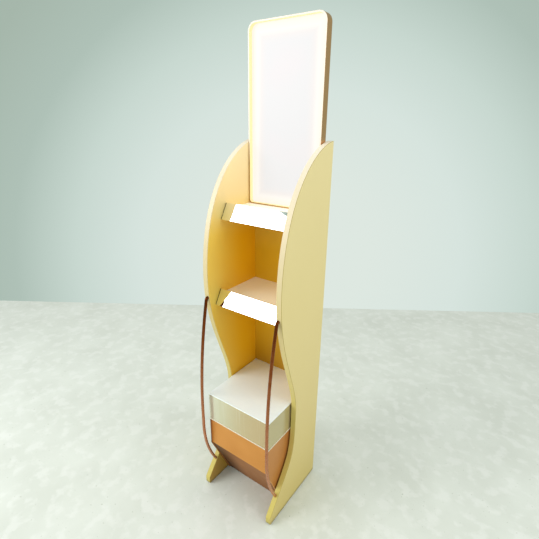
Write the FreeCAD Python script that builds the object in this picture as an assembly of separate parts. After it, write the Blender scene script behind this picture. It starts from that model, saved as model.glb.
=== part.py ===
import FreeCAD, Part
import math
import os

# Overall sizes, in millimetres: x runs across, -y is the front, z is up
stand_width = 350.0
panel_thickness = 22.0
stand_height = 1820.0
glide_height = 1.5
fit_clearance = 0.2

# Side panel outline: depths from the back edge, heights from the floor, tip above the upper shelf
tip_rise = 240.0
tip_slope = 6.0
tip_handle = 104.0
belly_depth = 292.5
belly_height = 958.0
belly_handle_up = 354.0
belly_handle_down = 219.0
waist_depth = 174.0
waist_height = 452.0
waist_handle_up = 129.0
waist_handle_down = 256.0
toe_depth = 338.0
toe_height = 32.0
toe_slope = 54.0
toe_handle = 255.0
toe_round = 6.0
arris_chamfer = 1.5

# Back board, up to a rise above the upper shelf, and its cable hole
back_board_thickness = 8.0
back_board_rise = 213.0
cable_hole_diameter = 24.0
grommet_wall = 3.0
grommet_flange = 3.5
grommet_lip = 1.5

# Shelves
shelf_thickness = 18.0
upper_shelf_height = 1207.0
upper_shelf_reach = 192.0
middle_shelf_height = 883.0
middle_shelf_reach = 237.0

# Tilted mirror rails on the shelf fronts
rail_tilt = 28.5
rail_height = 64.5
rail_lip = 20.5
mirror_thickness = 3.0
mirror_end_gap = 1.5
backer_thickness = 12.0
backer_inset = 1.5

# Light box that stands on the upper shelf
header_front = 46.5
header_depth = 32.0
header_end_gap = 1.0
header_top_corner = 30.0
header_low_corner = 16.0
header_wall = 5.0
header_recess = 16.0
header_face_thickness = 4.0
header_cover_thickness = 3.0
led_strip_width = 7.0
led_strip_thickness = 2.0
standoff_diameter = 16.0
standoff_side_offset = 40.0
standoff_low = 45.0
standoff_high = 175.0
gland_height = 110.0
gland_diameter = 12.0
gland_nut_width = 18.0
gland_nut_thickness = 3.5
gland_length = 5.0
gland_thread_inside = 2.0

# Plinth between the legs, and the tray on top of it
plinth_end_gap = 4.0
plinth_board = 9.0
plinth_side_board = 5.0
plinth_front_depth = 320.0
plinth_foot_depth = 216.0
plinth_break_height = 224.0
plinth_height = 350.0
plinth_recess = 4.0
tray_height = 127.0
tray_base_thickness = 4.0
tray_base_lip = 1.5
tray_wall = 4.0
tray_top_thickness = 5.0
tray_batten = 16.0

# Bowed rods that stand in front of the side panels
rod_diameter = 12.0
rod_side_inset = 14.2
rod_reach = 346.0
rod_top_height = 878.0
rod_straight_top = 410.0
rod_straight_bottom = 330.0
rod_bottom_height = 102.0
rod_standoff = 9.0
rod_bend_radius = 9.0
rod_bore_depth = 15.0

# Glides under the side panels
glide_diameter = 16.0
glide_recess = 2.0
glide_chamfer = 0.75
glide_back = 30.0
glide_front = 290.0

# Values that follow from the sizes above
half_width = stand_width / 2
inner_half = half_width - panel_thickness
rod_radius = rod_diameter / 2
rod_x = half_width - rod_side_inset
back_plane = (rod_reach + rod_radius - grommet_lip) / 2
tip_height = upper_shelf_height + tip_rise
back_board_top = upper_shelf_height + back_board_rise
header_half = inner_half - header_end_gap
header_back = header_front - header_depth
plinth_half = inner_half - plinth_end_gap
plinth_inner_half = plinth_half - plinth_side_board
plinth_top = plinth_height + tray_base_thickness
tray_top_height = plinth_height + tray_height


def at(x, depth, height):
    """Point from its side position, depth in front of the back edge and height."""
    return FreeCAD.Vector(x, back_plane - depth, height)


def heading(angle):
    """Unit step (depth, height) at an angle below the horizontal, going forward."""
    turn = math.radians(angle)
    return math.cos(turn), -math.sin(turn)


def shifted(start, step, length):
    """Point (depth, height) reached from a start along a step."""
    return start[0] + step[0] * length, start[1] + step[1] * length


def block(x_range, depth_range, height_range):
    """Rectangular board given by its three ranges."""
    corner = at(x_range[0], depth_range[1], height_range[0])
    return Part.makeBox(
        x_range[1] - x_range[0],
        depth_range[1] - depth_range[0],
        height_range[1] - height_range[0],
        corner,
    )


def prism(outline, x_range):
    """Straight-sided outline of (depth, height) points drawn out across the stand."""
    points = [at(x_range[0], depth, height) for depth, height in outline]
    face = Part.Face(Part.makePolygon(points + points[:1]))
    return face.extrude(FreeCAD.Vector(x_range[1] - x_range[0], 0, 0))


def rounded_slab(half, low_corner, top_corner, depth_range):
    """Upright slab, its corners at the bottom and top given as (height, radius)."""
    slab = block((-half, half), depth_range, (low_corner[0], top_corner[0]))
    for height, radius in (low_corner, top_corner):
        corners = [edge for edge in slab.Edges if is_corner(edge, height)]
        slab = slab.makeFillet(radius, corners)
    return slab


def is_corner(edge, height):
    """True for a straight edge that runs from front to back at a height."""
    start = edge.Vertexes[0].Point
    step = edge.Vertexes[-1].Point - start
    return max(abs(step.x), abs(step.z), abs(start.z - height)) < 1e-6


def mirrored(shape):
    """The same shape on the other side of the stand."""
    return shape.mirror(FreeCAD.Vector(0, 0, 0), FreeCAD.Vector(1, 0, 0))


# Front edge of the side panels
def front_curves(inset=0.0):
    """Handles of the three curves of the front edge, from the tip to the toe."""
    tip = (0.0, tip_height - inset)
    belly = (belly_depth - inset, belly_height)
    waist = (waist_depth - inset, waist_height)
    toe = (toe_depth - inset, toe_height)
    tip_end = shifted(tip, heading(tip_slope), tip_handle)
    toe_start = shifted(toe, heading(toe_slope), -toe_handle)
    belly_start = shifted(belly, heading(90), -belly_handle_up)
    belly_end = shifted(belly, heading(90), belly_handle_down)
    waist_start = shifted(waist, heading(90), -waist_handle_up)
    waist_end = shifted(waist, heading(90), waist_handle_down)
    return [
        [tip, tip_end, belly_start, belly],
        [belly, belly_end, waist_start, waist],
        [waist, waist_end, toe_start, toe],
    ]


def curve_edge(handles, x):
    """One curve of the front edge as an edge in the plane at x."""
    curve = Part.BezierCurve()
    curve.setPoles([at(x, depth, height) for depth, height in handles])
    return curve.toShape()


def front_depth(height):
    """Depth of the front edge of a side panel at a height."""
    if height <= toe_height:
        return toe_depth
    handles = next(curve for curve in front_curves() if curve[-1][1] <= height)
    low, high = 0.0, 1.0
    while high - low > 1e-9:
        middle = (low + high) / 2
        if bezier_value([handle[1] for handle in handles], middle) > height:
            low = middle
        else:
            high = middle
    return bezier_value([handle[0] for handle in handles], low)


def bezier_value(values, share):
    """Value of a cubic curve at a share of its run."""
    rest = 1 - share
    return (
        rest**3 * values[0]
        + 3 * rest**2 * share * values[1]
        + 3 * rest * share**2 * values[2]
        + share**3 * values[3]
    )


def panel_wire(x, inset):
    """Closed outline of a side panel in the plane at x, its front moved back by an inset."""
    nose = toe_depth - inset
    corner_cut = toe_round * (1 - math.sqrt(0.5))
    round_start = at(x, nose, glide_height + toe_round)
    round_middle = at(x, nose - corner_cut, glide_height + corner_cut)
    sole_front = at(x, nose - toe_round, glide_height)
    heel = at(x, 0, glide_height)
    edges = [curve_edge(handles, x) for handles in front_curves(inset)]
    edges.append(Part.makeLine(at(x, nose, toe_height), round_start))
    edges.append(Part.Arc(round_start, round_middle, sole_front).toShape())
    edges.append(Part.makeLine(sole_front, heel))
    edges.append(Part.makeLine(heel, at(x, 0, tip_height - inset)))
    return Part.Wire(edges)


def side_panel():
    """Right-hand side panel: its outline lofted across, with broken front arrises and its bores."""
    sections = [
        panel_wire(inner_half, arris_chamfer),
        panel_wire(inner_half + arris_chamfer, 0),
        panel_wire(half_width - arris_chamfer, 0),
        panel_wire(half_width, arris_chamfer),
    ]
    panel = Part.makeLoft(sections, True, True)
    return panel.cut(Part.makeCompound(panel_bores()))


def panel_bores():
    """Bores for the rod ends and the glides."""
    bores = rod_bores()
    for depth in (glide_back, glide_front):
        bores.append(
            Part.makeCylinder(
                glide_diameter / 2 + fit_clearance,
                glide_recess,
                at(inner_half + panel_thickness / 2, depth, glide_height),
            )
        )
    return bores


def glide():
    """One glide: a pad that stands out of the sole by the glide height."""
    centre = at(inner_half + panel_thickness / 2, 0, 0)
    pad = Part.makeCylinder(glide_diameter / 2, glide_height + glide_recess, centre)
    rim = [edge for edge in pad.Edges if isinstance(edge.Curve, Part.Circle)]
    lowest = min(rim, key=lambda edge: edge.CenterOfMass.z)
    return pad.makeChamfer(glide_chamfer, [lowest])


def glides():
    """Two glides under each side panel."""
    pads = []
    for depth in (glide_back, glide_front):
        pad = glide()
        pad.translate(FreeCAD.Vector(0, -depth, 0))
        pads += [pad, mirrored(pad)]
    return Part.makeCompound(pads)


# Back board
def back_board():
    """Board between the side panels, flush with their back edges."""
    board = block((-inner_half, inner_half), (0, back_board_thickness), (glide_height, back_board_top))
    return board.cut(cable_cylinder(cable_hole_diameter / 2, 0, back_board_thickness))


def cable_cylinder(radius, depth_from, depth_to):
    """Cylinder about the line that the cable follows to the light box."""
    height = upper_shelf_height + gland_height
    return Part.makeCylinder(
        radius, depth_to - depth_from, at(0, depth_from, height), FreeCAD.Vector(0, -1, 0)
    )


def cable_grommet():
    """Soft ring in the cable hole, with a lip on each face of the board."""
    radius = cable_hole_diameter / 2
    body = cable_cylinder(radius - fit_clearance, -grommet_lip, back_board_thickness + grommet_lip)
    rear = cable_cylinder(radius + grommet_flange, -grommet_lip, 0)
    front = cable_cylinder(
        radius + grommet_flange, back_board_thickness, back_board_thickness + grommet_lip
    )
    hole = cable_cylinder(
        radius - grommet_wall, -grommet_lip, back_board_thickness + grommet_lip
    )
    return body.fuse([rear, front]).removeSplitter().cut(hole)


# Shelves and their mirror rails
def rail_line(reach, shelf_height, inset, along):
    """Point at an inset behind the mirror face and a distance along its slope."""
    down = heading(90 - rail_tilt)
    back = (down[1], -down[0])
    return shifted(shifted((reach, shelf_height), down, along), back, inset)


def rail_outline(reach, shelf_height, front_inset, thickness, end_inset):
    """Outline of a layer of the rail, as tall as the rail less its end insets."""
    lip = rail_lip / math.cos(math.radians(rail_tilt))
    top = -lip + end_inset
    bottom = rail_height - lip - end_inset
    rear_inset = front_inset + thickness
    return [
        rail_line(reach, shelf_height, front_inset, top),
        rail_line(reach, shelf_height, front_inset, bottom),
        rail_line(reach, shelf_height, rear_inset, bottom),
        rail_line(reach, shelf_height, rear_inset, top),
    ]


def mirror_rail(reach, shelf_height):
    """Mirror strip glued to the tilted backer."""
    outline = rail_outline(reach, shelf_height, 0, mirror_thickness, 0)
    half = inner_half - mirror_end_gap
    return prism(outline, (-half, half))


def rail_backer(reach, shelf_height):
    """Tilted board that joins the shelf to its mirror strip."""
    outline = rail_outline(reach, shelf_height, mirror_thickness, backer_thickness, backer_inset)
    return prism(outline, (-inner_half, inner_half))


def shelf(reach, shelf_height):
    """Shelf board, mitred at the front to the tilt of its rail."""
    inset = (mirror_thickness + backer_thickness) / math.cos(math.radians(rail_tilt))
    top_front = reach - inset
    bottom_front = top_front + shelf_thickness * math.tan(math.radians(rail_tilt))
    underside = shelf_height - shelf_thickness
    outline = [
        (back_board_thickness, shelf_height),
        (top_front, shelf_height),
        (bottom_front, underside),
        (back_board_thickness, underside),
    ]
    return prism(outline, (-inner_half, inner_half))


def shelf_places():
    """Reach and height of each shelf."""
    return [
        (upper_shelf_reach, upper_shelf_height),
        (middle_shelf_reach, middle_shelf_height),
    ]


# Light box
def header_slab(depth_range, inset):
    """Rounded slab inside the light box outline by an inset."""
    low_corner = (upper_shelf_height + inset, header_low_corner - inset)
    top_corner = (stand_height - inset, header_top_corner - inset)
    return rounded_slab(header_half - inset, low_corner, top_corner, depth_range)


def header_frame():
    """Metal ring round the light box."""
    depths = (header_back, header_front)
    return header_slab(depths, 0).cut(header_slab(depths, header_wall))


def header_face():
    """Opal sheet, set back inside the ring."""
    front = header_front - header_recess
    return header_slab((front - header_face_thickness, front), header_wall + fit_clearance)


def header_cover():
    """Rear sheet of the light box, with the bore of the cable gland."""
    depths = (header_back, header_back + header_cover_thickness)
    sheet = header_slab(depths, header_wall + fit_clearance)
    return sheet.cut(cable_cylinder(gland_diameter / 2 + fit_clearance, *depths))


def header_led_strips():
    """Light strips on the inner walls of the ring, between the corners."""
    cavity_back = header_back + header_cover_thickness
    cavity_front = header_front - header_recess - header_face_thickness
    margin = (cavity_front - cavity_back - led_strip_width) / 2
    depths = (cavity_back + margin, cavity_front - margin)
    side = header_half - header_wall
    low_run = header_half - header_low_corner
    top_run = header_half - header_top_corner
    low = upper_shelf_height + header_wall
    high = stand_height - header_wall
    rise = (upper_shelf_height + header_low_corner, stand_height - header_top_corner)
    strips = [
        block((side - led_strip_thickness, side), depths, rise),
        block((-side, led_strip_thickness - side), depths, rise),
        block((-low_run, low_run), depths, (low, low + led_strip_thickness)),
        block((-top_run, top_run), depths, (high - led_strip_thickness, high)),
    ]
    return Part.makeCompound(strips)


def header_standoffs():
    """Spacers between the back board and the light box."""
    spacers = []
    for height in (standoff_low, standoff_high):
        for side in (-1, 1):
            spacers.append(
                Part.makeCylinder(
                    standoff_diameter / 2,
                    header_back - back_board_thickness,
                    at(side * (header_half - standoff_side_offset), back_board_thickness,
                       upper_shelf_height + height),
                    FreeCAD.Vector(0, -1, 0),
                )
            )
    return Part.makeCompound(spacers)


def header_gland():
    """Cable gland in the rear sheet, facing the cable hole."""
    inside = header_back + header_cover_thickness + gland_thread_inside
    body = cable_cylinder(gland_diameter / 2, header_back - gland_length, inside)
    return body.fuse(gland_nut())


def gland_nut():
    """Hexagonal nut of the cable gland, flat against the rear sheet."""
    height = upper_shelf_height + gland_height
    corner = gland_nut_width / math.sqrt(3)
    points = []
    for turn in range(6):
        angle = math.radians(60 * turn)
        points.append(at(corner * math.cos(angle), header_back, height + corner * math.sin(angle)))
    face = Part.Face(Part.makePolygon(points + points[:1]))
    return face.extrude(FreeCAD.Vector(0, gland_nut_thickness, 0))


# Plinth
def plinth_offset_line(inset):
    """Front points of the plinth section moved in by an inset, top to bottom."""
    run = plinth_front_depth - plinth_foot_depth
    rise = plinth_break_height
    slope = math.hypot(run, rise)
    slant_shift = inset * slope / rise
    front = plinth_front_depth - inset
    break_height = plinth_break_height + (slant_shift - inset) * rise / run
    foot = plinth_foot_depth - slant_shift + glide_height * run / rise
    return [(front, plinth_height), (front, break_height), (foot, glide_height)]


def plinth_side():
    """Right-hand plinth board, leaning back under the break to the floor."""
    outline = plinth_offset_line(0)
    outline += [(back_board_thickness, glide_height), (back_board_thickness, plinth_height)]
    return prism(outline, (plinth_inner_half, plinth_half))


def plinth_front():
    """Upright front panel, mitred to the leaning panel below it."""
    outer = plinth_offset_line(plinth_recess)
    inner = plinth_offset_line(plinth_recess + plinth_board)
    outline = [outer[0], outer[1], inner[1], inner[0]]
    return prism(outline, (-plinth_inner_half, plinth_inner_half))


def plinth_kick():
    """Leaning panel from the foot of the front panel down to the floor."""
    outer = plinth_offset_line(plinth_recess)
    inner = plinth_offset_line(plinth_recess + plinth_board)
    outline = [outer[1], outer[2], inner[2], inner[1]]
    return prism(outline, (-plinth_inner_half, plinth_inner_half))


def plinth_deck():
    """Top board of the plinth, inside the other boards."""
    widths = (-plinth_inner_half, plinth_inner_half)
    front = plinth_front_depth - plinth_recess - plinth_board
    heights = (plinth_height - plinth_board, plinth_height)
    return block(widths, (back_board_thickness, front), heights)


# Tray on the plinth
def tray_base():
    """Clear base sheet, standing out a little round the plinth."""
    half = plinth_half + tray_base_lip
    depths = (back_board_thickness, plinth_front_depth + tray_base_lip)
    return block((-half, half), depths, (plinth_height, plinth_top))


def tray_skirt():
    """Band round the front and both sides, open at the back."""
    heights = (plinth_top, tray_top_height - tray_top_thickness)
    outer = block((-plinth_half, plinth_half), (back_board_thickness, plinth_front_depth), heights)
    inner_side = plinth_half - tray_wall
    inner = block(
        (-inner_side, inner_side), (back_board_thickness, plinth_front_depth - tray_wall), heights
    )
    return outer.cut(inner)


def tray_top():
    """White top sheet of the tray."""
    heights = (tray_top_height - tray_top_thickness, tray_top_height)
    return block((-plinth_half, plinth_half), (back_board_thickness, plinth_front_depth), heights)


def tray_rear_batten():
    """Batten on the back board that carries the rear of the top sheet."""
    half = plinth_half - tray_wall
    top = tray_top_height - tray_top_thickness
    depths = (back_board_thickness, back_board_thickness + tray_batten)
    return block((-half, half), depths, (top - tray_batten, top))


# Rods
class RodPath:
    """Centre line of a rod: top leg, tight bend, long arc, straight, low arc and end leg."""

    def __init__(self):
        self.top_arc = bow(rod_reach, rod_straight_top, rod_top_height,
                           front_depth(rod_top_height) + rod_standoff)
        self.low_arc = bow(rod_reach, rod_straight_bottom, rod_bottom_height,
                           front_depth(rod_bottom_height))
        self.leg_height = self.bend_centre()[1] + rod_bend_radius

    def bend_centre(self):
        """Centre of the tight bend at the top."""
        radius, angle = self.top_arc
        end = arc_point(rod_reach, rod_straight_top, radius, angle)
        return end[0] - rod_bend_radius * math.cos(angle), end[1] - rod_bend_radius * math.sin(angle)

    def bend_point(self, angle):
        """Point on the tight bend."""
        centre = self.bend_centre()
        return (centre[0] + rod_bend_radius * math.cos(angle),
                centre[1] + rod_bend_radius * math.sin(angle))

    def end_step(self):
        """Direction of the lower leg, into the foot."""
        angle = self.low_arc[1]
        return math.sin(angle), -math.cos(angle)

    def wire(self, x):
        """The whole centre line in the plane at x."""
        radius, angle = self.top_arc
        low_radius, low_angle = self.low_arc
        bend_top = math.pi / 2
        leg_end = (front_depth(self.leg_height) - rod_bore_depth, self.leg_height)
        low_end = arc_point(rod_reach, rod_straight_bottom, low_radius, low_angle)
        last = shifted(low_end, self.end_step(), rod_bore_depth)
        top = self.bend_point(bend_top)
        top_end = arc_point(rod_reach, rod_straight_top, radius, angle)
        edges = [
            Part.makeLine(at(x, *leg_end), at(x, *top)),
            arc_edge(x, top, self.bend_point((bend_top + angle) / 2), top_end),
            arc_edge(x, top_end, arc_point(rod_reach, rod_straight_top, radius, angle / 2),
                     (rod_reach, rod_straight_top)),
            Part.makeLine(at(x, rod_reach, rod_straight_top), at(x, rod_reach, rod_straight_bottom)),
            arc_edge(x, (rod_reach, rod_straight_bottom),
                     arc_point(rod_reach, rod_straight_bottom, low_radius, low_angle / 2), low_end),
            Part.makeLine(at(x, *low_end), at(x, *last)),
        ]
        return Part.Wire(edges)


def bow(straight_depth, start_height, end_height, end_depth):
    """Radius and signed angle of an arc that leaves the straight and ends at a depth."""
    rise = end_height - start_height
    sag = straight_depth - end_depth
    radius = (rise**2 + sag**2) / (2 * sag)
    return radius, math.asin(rise / radius)


def arc_point(straight_depth, start_height, radius, angle):
    """Point on such an arc at an angle from its start."""
    return (straight_depth - radius * (1 - math.cos(angle)),
            start_height + radius * math.sin(angle))


def arc_edge(x, start, middle, end):
    """Arc through three (depth, height) points in the plane at x."""
    return Part.Arc(at(x, *start), at(x, *middle), at(x, *end)).toShape()


def rod():
    """Right-hand rod, bent from one bar."""
    path = RodPath().wire(rod_x)
    start = path.Vertexes[0].Point
    section = Part.Wire(Part.makeCircle(rod_radius, start, FreeCAD.Vector(0, -1, 0)))
    return path.makePipeShell([section], True, True)


def rod_bores():
    """Bores in the front edge of the right-hand panel for the two rod ends."""
    path = RodPath()
    radius = rod_radius + fit_clearance
    edge = front_depth(path.leg_height)
    top = Part.makeCylinder(radius, 2 * rod_bore_depth + fit_clearance,
                            at(rod_x, edge - rod_bore_depth - fit_clearance, path.leg_height),
                            FreeCAD.Vector(0, -1, 0))
    low_radius, low_angle = path.low_arc
    entry = arc_point(rod_reach, rod_straight_bottom, low_radius, low_angle)
    step = path.end_step()
    outside = shifted(entry, step, -rod_bore_depth)
    low = Part.makeCylinder(radius, 2 * rod_bore_depth + fit_clearance, at(rod_x, *outside),
                            FreeCAD.Vector(0, -step[0], step[1]))
    return [top, low]


def write(name, shape):
    """Write one sub-part to its own file."""
    shape.exportStep(os.path.join("parts", name + ".step"))


def write_pair(name, shape):
    """Write a right-hand sub-part and its left-hand twin."""
    write(name + "_right", shape)
    write(name + "_left", mirrored(shape))


def main():
    os.makedirs("parts", exist_ok=True)
    write_pair("side_panel", side_panel())
    write("foot_glides", glides())
    write("back_board", back_board())
    write("cable_grommet", cable_grommet())
    for name, (reach, height) in zip(("upper", "middle"), shelf_places()):
        write("shelf_" + name, shelf(reach, height))
        write("rail_backer_" + name, rail_backer(reach, height))
        write("mirror_rail_" + name, mirror_rail(reach, height))
    write("header_frame", header_frame())
    write("header_face", header_face())
    write("header_cover", header_cover())
    write("header_led_strips", header_led_strips())
    write("header_standoffs", header_standoffs())
    write("header_gland", header_gland())
    write_pair("plinth_side", plinth_side())
    write("plinth_front", plinth_front())
    write("plinth_kick", plinth_kick())
    write("plinth_deck", plinth_deck())
    write("tray_base", tray_base())
    write("tray_skirt", tray_skirt())
    write("tray_top", tray_top())
    write("tray_rear_batten", tray_rear_batten())
    write_pair("bow_rod", rod())


main()
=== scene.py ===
"""Dresses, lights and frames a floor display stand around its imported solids."""

import logging
import math
from collections.abc import Callable
from dataclasses import dataclass, field
from enum import Enum

import bmesh
import bpy
from mathutils import Matrix, Vector


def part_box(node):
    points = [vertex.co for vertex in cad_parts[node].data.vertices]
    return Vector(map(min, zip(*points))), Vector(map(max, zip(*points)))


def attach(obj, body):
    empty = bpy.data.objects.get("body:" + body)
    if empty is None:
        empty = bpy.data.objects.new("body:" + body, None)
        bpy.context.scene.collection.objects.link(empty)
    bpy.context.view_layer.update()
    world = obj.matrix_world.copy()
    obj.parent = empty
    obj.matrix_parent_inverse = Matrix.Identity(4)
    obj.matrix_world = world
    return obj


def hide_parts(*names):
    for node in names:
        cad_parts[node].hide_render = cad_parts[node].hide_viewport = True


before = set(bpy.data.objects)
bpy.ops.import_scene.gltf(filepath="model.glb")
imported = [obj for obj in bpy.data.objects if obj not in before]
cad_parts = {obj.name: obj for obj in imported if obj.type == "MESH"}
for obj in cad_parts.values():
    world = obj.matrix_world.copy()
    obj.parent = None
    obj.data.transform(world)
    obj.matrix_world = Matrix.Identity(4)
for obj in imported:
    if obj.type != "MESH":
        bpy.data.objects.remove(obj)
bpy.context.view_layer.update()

logging.basicConfig(level=logging.INFO, format="%(message)s")
log = logging.getLogger("stand")

Tree, Socket, Node = bpy.types.NodeTree, bpy.types.NodeSocket, bpy.types.Node
Object, Face = bpy.types.Object, bmesh.types.BMFace

MM = 0.001
# Most values of a noise lie between these two.
NOISE_LOW, NOISE_HIGH = 0.3, 0.7
# Limits for a part of a face's normal: it looks along an axis, leans to it, or lies across it.
ALONG, LEANING, ACROSS = 0.9, 0.5, 0.3
SHARP_DEGREES, FLAT_DEGREES, WELD = 30.0, 1.0, 1e-6


class Axis(Enum):
    """Row axes by their index in a vector."""

    X = 0
    Y = 1
    Z = 2


def srgb(code: str) -> tuple[float, float, float, float]:
    """Turn an sRGB hex colour into linear values.

    Args:
        code: Six hex digits after a hash sign.

    Returns:
        Linear red, green and blue with an alpha of one.
    """
    parts = [int(code[i:i + 2], 16) / 255 for i in (1, 3, 5)]
    linear = [c / 12.92 if c <= 0.04045 else ((c + 0.055) / 1.055) ** 2.4 for c in parts]
    return linear[0], linear[1], linear[2], 1.0


def per_size(size_mm: float) -> float:
    """Scale of a pattern whose lumps are this many millimetres wide."""
    return 1 / (size_mm * MM)


def add_node(tree: Tree, kind: str, settings: dict | None = None,
             links: dict | None = None) -> Node:
    """Add one node with its settings and links.

    Args:
        tree: The node tree that gets the node.
        kind: The node's type, without the words that all shader nodes share.
        settings: Attribute or input names, or input indices, with their values; a hex
            code is a colour, and stops are the positions and hex codes of a colour ramp.
        links: Input names or indices with the output sockets that feed them.

    Returns:
        The new node.
    """
    node = tree.nodes.new("ShaderNode" + kind)
    for key, value in (settings or {}).items():
        if key == "stops":
            elements = node.color_ramp.elements
            while len(elements) < len(value):
                elements.new(1.0)
            for element, (position, code) in zip(elements, value):
                element.position = position
                element.color = srgb(code)
        elif isinstance(key, str) and hasattr(node, key):
            setattr(node, key, value)
        else:
            node.inputs[key].default_value = srgb(value) if isinstance(value, str) else value
    for key, socket in (links or {}).items():
        tree.links.new(socket, node.inputs[key])
    return node


@dataclass(frozen=True)
class Finish:
    """A surface finish that becomes one material."""

    name: str

    def surface(self, tree: Tree, place: Socket) -> Node:
        """Build the surface shader; each finish does this its own way."""
        raise NotImplementedError

    def relief(self, tree: Tree, height: Socket, depth_mm: float,
               strength: float) -> Socket:
        """Surface normal over a height pattern.

        Args:
            tree: The node tree of the material.
            height: The pattern.
            depth_mm: The depth of the pattern in millimetres.
            strength: How much of the relief shows.

        Returns:
            The normal.
        """
        return add_node(tree, "Bump", {"Strength": strength, "Distance": depth_mm * MM},
                        {"Height": height}).outputs["Normal"]

    def material(self) -> bpy.types.Material:
        """Build the material, or give the one that is already there."""
        made = bpy.data.materials.get(self.name)
        if made is not None:
            return made
        made = bpy.data.materials.new(self.name)
        made.use_nodes = True
        tree = made.node_tree
        tree.nodes.clear()
        place = add_node(tree, "TexCoord").outputs["Object"]
        shader = self.surface(tree, place)
        add_node(tree, "OutputMaterial", links={"Surface": shader.outputs["BSDF"]})
        return made


@dataclass(frozen=True)
class RolledLacquer(Finish):
    """Acrylic lacquer rolled on board."""

    # A foam roller leaves a satin film with broad faint clouds of thickness, and an orange
    # peel of 2.4 mm that shows only where light glances off the face.
    colour: str = "#E8E6E0"
    shadow: str = "#DEDBD2"
    roughness: float = 0.42
    peel_mm: float = 2.4
    peel_depth_mm: float = 0.12
    cloud_mm: float = 160.0

    def tone(self, tree: Tree, place: Socket) -> Socket:
        """Broad, faint clouds of uneven film thickness."""
        clouds = add_node(tree, "TexNoise", {"Scale": per_size(self.cloud_mm), "Detail": 2.0},
                          {"Vector": place})
        return add_node(tree, "Mix", {"data_type": "RGBA", 6: self.colour, 7: self.shadow},
                        {0: clouds.outputs["Fac"]}).outputs[2]

    def surface(self, tree: Tree, place: Socket) -> Node:
        """Satin colour with a peel that only shows in the gloss."""
        peel = add_node(tree, "TexNoise", {"Scale": per_size(self.peel_mm), "Detail": 3.0},
                        {"Vector": place})
        return add_node(tree, "BsdfPrincipled", {"Roughness": self.roughness, "IOR": 1.47},
                        {"Base Color": self.tone(tree, place),
                         "Normal": self.relief(tree, peel.outputs["Fac"], self.peel_depth_mm,
                                               0.35)})


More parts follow.
